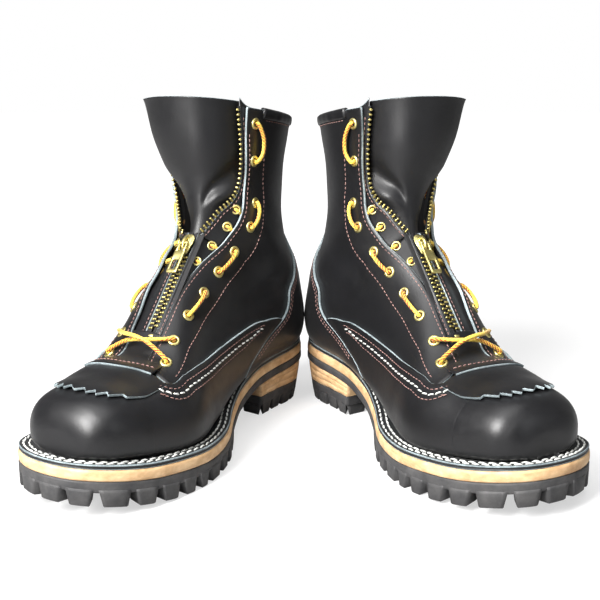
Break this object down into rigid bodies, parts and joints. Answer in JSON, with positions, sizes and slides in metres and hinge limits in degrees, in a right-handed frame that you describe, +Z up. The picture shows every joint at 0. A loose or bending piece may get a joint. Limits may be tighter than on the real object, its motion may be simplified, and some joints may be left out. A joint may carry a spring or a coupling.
{
  "type": "fire boots",
  "caption": "Pair of black leather wildland fire boots with zip inserts, fringed flaps, brass eyelets, stacked leather heels and lug soles.",
  "frame": {"origin": "centre of the pair's bounding box on the ground", "axes": "+Z up, toes towards -Y, +X towards the left boot"},
  "size_m": [0.3728, 0.2767, 0.2471],
  "materials": {
    "black_leather": "smooth oiled black leather with a soft sheen",
    "welt_leather": "dyed edge, satin",
    "natural_leather": "undyed stacked leather, sanded edge",
    "stiffener_board": "pressed leather board",
    "lug_rubber": "matte moulded rubber",
    "brass": "polished brass",
    "steel": "plain steel",
    "lace_fabric": "round braided cord in yellow and rust"
  },
  "bodies": {
    "right_boot": {"right_outsole": "lug_rubber", "right_heel_lug": "lug_rubber", "right_heel_stack": "natural_leather", "right_midsole": "natural_leather", "right_welt": "welt_leather", "right_insole": "natural_leather", "right_shank": "steel", "right_heel_nails": "steel", "right_vamp": "black_leather", "right_toe_stiffener": "stiffener_board", "right_heel_stiffener": "stiffener_board", "right_quarter_medial": "black_leather", "right_quarter_lateral": "black_leather", "right_counter_cover": "black_leather", "right_arch_patch_medial": "black_leather", "right_arch_patch_lateral": "black_leather", "right_collar_band": "black_leather", "right_kiltie": "black_leather", "right_tongue": "black_leather", "right_zip_panel_medial": "black_leather", "right_zip_panel_lateral": "black_leather", "right_zip_teeth_medial": "brass", "right_zip_teeth_lateral": "brass", "right_zip_stop": "brass", "right_eyelets": "brass", "right_panel_eyelets": "brass", "right_lace": "lace_fabric"},
    "right_slider": {"right_zip_slider": "brass"},
    "right_tab": {"right_pull_tab": "brass"},
    "left_boot": {"left_outsole": "lug_rubber", "left_heel_lug": "lug_rubber", "left_heel_stack": "natural_leather", "left_midsole": "natural_leather", "left_welt": "welt_leather", "left_insole": "natural_leather", "left_shank": "steel", "left_heel_nails": "steel", "left_vamp": "black_leather", "left_toe_stiffener": "stiffener_board", "left_heel_stiffener": "stiffener_board", "left_quarter_medial": "black_leather", "left_quarter_lateral": "black_leather", "left_counter_cover": "black_leather", "left_arch_patch_medial": "black_leather", "left_arch_patch_lateral": "black_leather", "left_collar_band": "black_leather", "left_kiltie": "black_leather", "left_tongue": "black_leather", "left_zip_panel_medial": "black_leather", "left_zip_panel_lateral": "black_leather", "left_zip_teeth_medial": "brass", "left_zip_teeth_lateral": "brass", "left_zip_stop": "brass", "left_eyelets": "brass", "left_panel_eyelets": "brass", "left_lace": "lace_fabric"},
    "left_slider": {"left_zip_slider": "brass"},
    "left_tab": {"left_pull_tab": "brass"}
  },
  "joints": [
    {"name": "left_boot_lift", "type": "slide", "parent": "right_boot", "child": "left_boot", "axis": [0, 0, 1], "range_m": [0, 0.12]},
    {"name": "right_zip_travel", "type": "slide", "parent": "right_boot", "child": "right_slider", "axis": [0.2941, 0.6343, 0.715], "range_m": [-0.05, 0]},
    {"name": "right_tab_hinge", "type": "hinge", "parent": "right_slider", "child": "right_tab", "pos_m": [-0.08638, 0.00523, 0.14798], "axis": [-0.8633, 0.4973, -0.086], "range_deg": [0, 140]},
    {"name": "left_zip_travel", "type": "slide", "parent": "left_boot", "child": "left_slider", "axis": [-0.2941, 0.6343, 0.715], "range_m": [-0.05, 0]},
    {"name": "left_tab_hinge", "type": "hinge", "parent": "left_slider", "child": "left_tab", "pos_m": [0.08638, 0.00523, 0.14798], "axis": [-0.8633, -0.4973, 0.086], "range_deg": [0, 140]}
  ]
}
